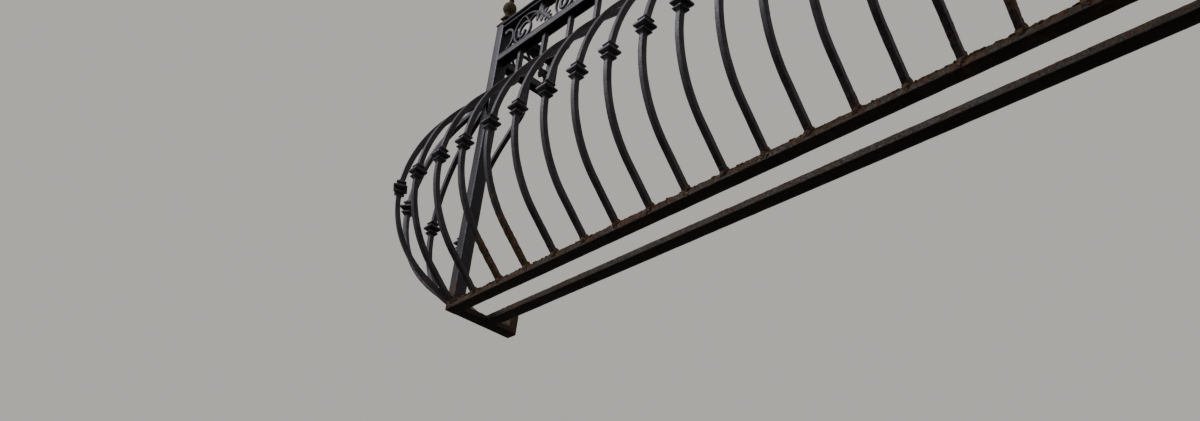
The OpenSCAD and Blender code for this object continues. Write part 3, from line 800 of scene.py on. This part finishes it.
def c_scroll(f):
    """The C that stands before the first arch, with its knob and a hump under it."""
    radius, end = FRIEZE_HEIGHT * 0.36, 96
    centre = np.array([-FRIEZE_HEIGHT / 2 - radius - BAND / 2 + 1 * MM, FRIEZE_HEIGHT / 2])
    f.arc(centre, radius, -80, end, BAND, (0.8, 1.3))
    f.knob(on_circle(centre, radius, math.radians(end)) - 3 * MM, BAND * 0.9)
    f.mound(centre[0] + 9 * MM, 46 * MM, 19 * MM)


def palmette(f, breadth):
    """An upright lobed leaf with two plain ones on each side, over a hump."""
    f.mound(0, breadth * 0.62, 24 * MM)
    f.lobed_leaf((0, 4 * MM), (0, FRIEZE_HEIGHT - 1 * MM), 26 * MM)
    for side in (-1, 1):
        f.leaf((side * 2 * MM, 4 * MM), (side * breadth * 0.36, FRIEZE_HEIGHT * 0.82), 19 * MM, side * -0.08)
        f.leaf((side * 4 * MM, 2 * MM), (side * breadth * 0.52, FRIEZE_HEIGHT * 0.42), 17 * MM, side * -0.1)


def frieze_half(f, run):
    """C-scroll, then pairs of arches with a palmette after each, up to the arch at the middle."""
    tail = FRONT_LEAD + ARCH_LEAF
    count = max(1, round((run - tail) / (ARCH_PITCH * 2.4)))
    step = (run - tail) / count
    f.shift = FRONT_LEAD
    c_scroll(f)
    for i in range(count):
        start = FRONT_LEAD + i * step
        last = start + ARCH_PITCH + ARCH_LEAF
        f.shift = start
        scroll_motif(f, ARCH_LEAF)
        calyx(f, ARCH_LEAF)
        f.shift = start + ARCH_PITCH
        scroll_motif(f, ARCH_LEAF)
        f.leaf((ARCH_LEAF, FRIEZE_HEIGHT * 0.8), (ARCH_LEAF + 22 * MM, FRIEZE_HEIGHT * 0.55), 15 * MM)
        following = start + step - FRIEZE_HEIGHT / 2
        f.shift = (last + following) / 2
        palmette(f, following - last)
    f.shift = run - ARCH_LEAF
    scroll_motif(f, ARCH_LEAF)


def foot_strip(f):
    """The strip along the rail that carries the strokes."""
    x = even(0, float(f.run), 12 * MM)
    f.lay(np.stack([x, np.full_like(x, 2 * MM)], 1), 4.4 * MM, RELIEF * 0.48)


def make_front_frieze():
    """Two mirrored halves, with a palmette where they meet."""
    run = RIGHT - LEFT - 2 * POST
    low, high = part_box("frieze_front")
    f = Frieze((LEFT + POST, (low.y + high.y) / 2, RAIL_HIGH.z), X, -Y, run)
    foot_strip(f)
    for flip in (False, True):
        f.flip = flip
        frieze_half(f, run / 2)
    f.flip, f.shift = False, run / 2
    palmette(f, 2 * ARCH_LEAF - 2 * SCROLL_RADIUS)
    f.piece.build("scrollwork_front", "scroll_paint", "frieze_front")


def make_side_friezes():
    """One arch with its C-scroll and star leaf on each side."""
    low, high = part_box("frieze_left")
    f = Frieze(((low.x + high.x) / 2, low.y, RAIL_HIGH.z), Y, -X, high.y - low.y)
    foot_strip(f)
    f.shift = SIDE_LEAD
    c_scroll(f)
    scroll_motif(f, SIDE_LEAF)
    calyx(f, SIDE_LEAF)
    on_both_sides(f.piece, "scrollwork_{}", "scroll_paint", "frieze_{}")


class Nodes:
    """Short calls for the nodes of a material or of the world."""

    def __init__(self, owner, shader="Principled BSDF", place="Object"):
        owner.use_nodes = True
        self.tree = owner.node_tree
        self.shader = self.tree.nodes[shader]
        self.place = self.add("ShaderNodeTexCoord").outputs[place]

    def add(self, kind, **settings):
        node = self.tree.nodes.new(kind)
        for key, value in settings.items():
            setattr(node, key, value)
        return node

    def plug(self, socket, value):
        """Links a socket to another, or sets it to a value."""
        if isinstance(value, bpy.types.NodeSocket):
            self.tree.links.new(value, socket)
        else:
            socket.default_value = value

    def fill(self, node, sockets, values):
        for socket, value in zip(sockets, values):
            self.plug(node.inputs[socket], value)

    def noise(self, scale, detail, rough=0.6, stretch=None):
        node = self.add("ShaderNodeTexNoise")
        place = self.place
        if stretch:
            move = self.add("ShaderNodeMapping")
            move.inputs["Scale"].default_value = stretch
            self.plug(move.inputs["Vector"], place)
            place = move.outputs["Vector"]
        self.fill(node, ("Vector", "Scale", "Detail", "Roughness"), (place, scale, detail, rough))
        return node.outputs["Fac"]

    def cells(self, scale):
        node = self.add("ShaderNodeTexVoronoi")
        self.fill(node, ("Vector", "Scale"), (self.place, scale))
        return node.outputs["Distance"]

    def ramp(self, value, low, high, start=0.0, end=1.0):
        """Goes smoothly from start to end as the value goes from low to high."""
        node = self.add("ShaderNodeMapRange", interpolation_type="SMOOTHSTEP")
        self.fill(node, ("Value", "From Min", "From Max", "To Min", "To Max"), (value, low, high, start, end))
        return node.outputs["Result"]

    def math(self, operation, a, b, clamp=False):
        node = self.add("ShaderNodeMath", operation=operation, use_clamp=clamp)
        self.fill(node, (0, 1), (a, b))
        return node.outputs[0]

    def times(self, a, b):
        return self.math("MULTIPLY", a, b)

    def plus(self, a, b, clamp=False):
        return self.math("ADD", a, b, clamp)

    def blend(self, factor, a, b):
        """Mixes two colours, each a socket or three numbers."""
        node = self.add("ShaderNodeMix", data_type="RGBA")
        self.plug(node.inputs["Factor"], factor)
        for socket, colour in ((node.inputs["A"], a), (node.inputs["B"], b)):
            self.plug(socket, colour if isinstance(colour, bpy.types.NodeSocket) else (*colour, 1))
        return node.outputs["Result"]

    def field(self, name):
        return self.add("ShaderNodeAttribute", attribute_name=name).outputs["Fac"]

    def part(self, vector, axis):
        split = self.add("ShaderNodeSeparateXYZ")
        self.plug(split.inputs[0], vector)
        return split.outputs[axis]

    def facing_up(self):
        """How far the surface faces up, from -1 to 1."""
        return self.part(self.add("ShaderNodeNewGeometry").outputs["Normal"], "Z")

    def bump(self, height, strength, distance, below=None):
        node = self.add("ShaderNodeBump")
        self.fill(node, ("Height", "Strength", "Distance"), (height, strength, distance))
        if below:
            self.plug(node.inputs["Normal"], below)
        return node.outputs["Normal"]


# Colours of the layers: rusts from dark to light, and what lies over the paint
RED_RUST = (0.047, 0.027, 0.0195), (0.15, 0.077, 0.046)
OLIVE_RUST = (0.036, 0.0245, 0.0155), (0.112, 0.074, 0.043)
BRIGHT_RUST = (0.16, 0.088, 0.042)
BROWN = (0.034, 0.022, 0.017)
CHALK = (0.16, 0.15, 0.13)
WORN_EDGE = (0.075, 0.062, 0.058)
MOSS = (0.17, 0.15, 0.045)


def scaled(colour, share):
    return tuple(part * share for part in colour)


def old_paint(n, broad, fine, paint, painted_sheen):
    """Paint in patches with a lighter painted sheen for reflection, dark streaks, pale specks of sheen and brown
    stains.
    """
    streak = n.noise(38.0, 4.0, 0.6, (1.0, 1.0, 0.22))
    # Painted reflection: the lighter sheen tone laid over the paint in broad patches
    colour = n.blend(n.ramp(broad, 0.36, 0.66), paint, painted_sheen)
    colour = n.blend(n.ramp(streak, 0.5, 0.78, 0.0, 0.6), colour, scaled(paint, 0.45))
    # Pale specks of the painted sheen, lighter still
    colour = n.blend(n.ramp(n.noise(240.0, 3.0, 0.7), 0.52, 0.7, 0.0, 0.5), colour, scaled(painted_sheen, 1.7))
    brown = n.times(n.ramp(n.noise(26.0, 5.0, 0.65), 0.5, 0.72, 0.0, 0.6), n.ramp(fine, 0.4, 0.6))
    return n.blend(brown, colour, BROWN)


def rust_colour(n, grit, tones):
    """Rust from dark to light, with bright grains and dark patches."""
    rust = n.blend(n.ramp(n.noise(95.0, 5.0, 0.7), 0.38, 0.66), *tones)
    rust = n.blend(n.ramp(grit, 0.56, 0.72, 0.0, 0.45), rust, BRIGHT_RUST)
    return n.blend(n.ramp(n.noise(60.0, 3.0, 0.6), 0.5, 0.7, 0.0, 0.5), rust, scaled(tones[0], 0.35))


def iron_relief(n, fine, grit, amount):
    """Broad dents, finer pits with flakes where there is rust, and grit."""
    flaky = n.times(n.math("SUBTRACT", n.ramp(n.cells(210.0), 0.0, 0.7), 0.5), amount)
    pits = n.plus(n.times(fine, 0.6), n.times(flaky, 1.4))
    normal = n.bump(n.noise(48.0, 3.0, 0.55), 0.45, 0.0016)
    normal = n.bump(pits, 0.75, 0.0008, normal)
    return n.bump(grit, 0.35, 0.0002, normal)


def iron(name, paint, painted_sheen, rust_bias, moss, roughness, dust=0.25, rust_tones=RED_RUST, tint=(0.92, 0.88, 1.0)):
    """Old paint on forged iron: patchy with painted sheen, chalky on top, worn to brown at edges, rust breaking
    through.
    """
    material = bpy.data.materials.new(name)
    n = Nodes(material)
    broad, fine, grit = n.noise(14.0, 5.0, 0.62), n.noise(160.0, 4.0, 0.65), n.noise(620.0, 3.0, 0.7)
    colour = old_paint(n, broad, fine, paint, painted_sheen)
    chalk = n.times(n.ramp(n.facing_up(), 0.35, 0.95), n.ramp(fine, 0.35, 0.7, 0.2, 1.0))
    colour = n.blend(n.times(chalk, dust), colour, CHALK)
    edge = n.times(n.field("wear"), n.ramp(fine, 0.44, 0.66))
    colour = n.blend(n.times(edge, 0.35), colour, WORN_EDGE)
    ragged = n.plus(n.times(broad, 0.35), n.times(fine, 0.65))
    reach = n.plus(n.field("rust"), rust_bias)
    amount = n.ramp(n.plus(ragged, n.times(reach, 0.38)), 0.64, 0.8)
    colour = n.blend(amount, colour, rust_colour(n, grit, rust_tones))
    patch = n.times(n.ramp(n.noise(46.0, 3.0, 0.6), 0.52, 0.62), n.ramp(n.noise(330.0, 2.0), 0.5, 0.6))
    colour = n.blend(n.times(n.times(patch, amount), moss), colour, MOSS)
    n.plug(n.shader.inputs["Base Color"], colour)
    painted = n.ramp(fine, 0.3, 0.7, roughness - 0.07, roughness + 0.1)
    rusted = n.plus(n.times(amount, 0.34), painted)
    n.plug(n.shader.inputs["Roughness"], n.plus(rusted, n.times(chalk, 0.16), True))
    n.shader.inputs["Specular IOR Level"].default_value = 0.3
    n.shader.inputs["Specular Tint"].default_value = (*tint, 1)
    n.plug(n.shader.inputs["Normal"], iron_relief(n, fine, grit, amount))
    return material


def plain_stage(name, colour):
    """Matt plaster for the floor."""
    material = bpy.data.materials.new(name)
    n = Nodes(material)
    shade = n.ramp(n.noise(0.6, 2.0), 0.3, 0.7, 0.0, 0.25)
    n.plug(n.shader.inputs["Base Color"], n.blend(shade, colour, scaled(colour, 0.94)))
    n.shader.inputs["Roughness"].default_value = 0.9
    return material


# Paint and its painted sheen (a lighter tone that stands for reflection), then rust_bias, moss and roughness
SURFACES = {
    "rail_paint": ((0.0072, 0.0068, 0.0098), (0.0165, 0.0148, 0.0225), -0.08, 0.15, 0.48),
    # The channel: the rail paint made lighter as a painted highlight for its lit front face; its extra dust is real
    "lit_dusty_channel_paint": ((0.018, 0.016, 0.0185), (0.04, 0.035, 0.038), -0.05, 0.2, 0.5),
    "bar_paint": ((0.0165, 0.0148, 0.0172), (0.042, 0.0375, 0.0435), 0.0, 0.9, 0.5),
    "scroll_paint": ((0.0155, 0.0132, 0.0178), (0.042, 0.036, 0.046), -0.05, 0.2, 0.48),
    "base_rust": ((0.0085, 0.0062, 0.0056), (0.02, 0.0145, 0.0125), 0.16, 0.6, 0.62),
    "finial_rust": ((0.013, 0.0085, 0.0055), (0.027, 0.018, 0.011), 0.05, 0.4, 0.6),
}
# Where a surface differs from the rest in dust, rust or tint
OWN_SETTINGS = {
    "lit_dusty_channel_paint": {"dust": 0.35},
    "base_rust": {"dust": 0.2, "tint": (1.0, 0.9, 0.8)},
    "finial_rust": {"dust": 0.12, "rust_tones": OLIVE_RUST, "tint": (1.0, 0.92, 0.8)},
}
MATERIALS = {name: iron(name, *surface, **OWN_SETTINGS.get(name, {})) for name, surface in SURFACES.items()}


def make_camera():
    """The photo's camera, from its heading, rise and roll."""
    forward = Vector((math.sin(HEADING) * math.cos(RISE), math.cos(HEADING) * math.cos(RISE), math.sin(RISE)))
    level = forward.cross(Vector((0, 0, 1))).normalized()
    upright = level.cross(forward)
    right = level * math.cos(ROLL) + upright * math.sin(ROLL)
    up = upright * math.cos(ROLL) - level * math.sin(ROLL)
    data = bpy.data.cameras.new("camera")
    data.lens = LENS
    data.shift_y = SHIFT_Y
    data.clip_start = 0.05
    data.clip_end = 60
    camera = add_object("camera", data)
    camera.matrix_world = Matrix.Translation(EYE) @ Matrix((right, up, -forward)).transposed().to_4x4()
    bpy.context.scene.camera = camera


def make_light(name, place, size, power, colour):
    """A round area light that faces the balcony."""
    data = bpy.data.lights.new(name, "AREA")
    data.shape = "DISK"
    data.size = size
    data.energy = power
    data.color = colour
    light = add_object(name, data)
    light.location = place
    light.rotation_euler = (Vector((1.0, -0.2, 0.4)) - Vector(place)).to_track_quat("-Z", "Y").to_euler()


def make_floor():
    """A pale street-level floor far under the balcony."""
    level, reach, side = -3.2, 30.0, 9
    grid = np.linspace(-reach, reach, side)
    points = [(x, y, level) for y in grid for x in grid]
    corners = [i * side + j for i in range(side - 1) for j in range(side - 1)]
    mesh = bpy.data.meshes.new("floor")
    mesh.from_pydata(points, [], [(c, c + 1, c + side + 1, c + side) for c in corners])
    mesh.materials.append(plain_stage("floor_plaster", (0.62, 0.61, 0.58)))
    floor = add_object("floor", mesh)
    floor.visible_diffuse = False
    floor.visible_glossy = False


def make_world():
    """Plain pale surroundings, dimmer under the horizon, so that undersides stay dark."""
    world = bpy.data.worlds.new("studio")
    bpy.context.scene.world = world
    n = Nodes(world, "Background", "Generated")
    height = n.ramp(n.part(n.place, "Z"), -0.3, 0.04)
    n.plug(n.shader.inputs["Color"], n.blend(height, (0.13, 0.127, 0.12), (0.83, 0.81, 0.765)))
    n.shader.inputs["Strength"].default_value = 0.6


make_camera()
make_light("key", (-2.2, -4.5, 4.0), 2.4, 320, (0.93, 0.94, 1.0))
make_light("fill", (4.5, -3.0, 1.5), 4.0, 12, (0.86, 0.92, 1.0))
make_world()
make_floor()
make_base_front()
make_base_inner()
make_base_sides()
make_posts()
make_finials()
make_handrails()
make_front_channel()
make_side_channels()
make_front_frieze()
make_side_friezes()
make_front_bars()
make_corner_bars()
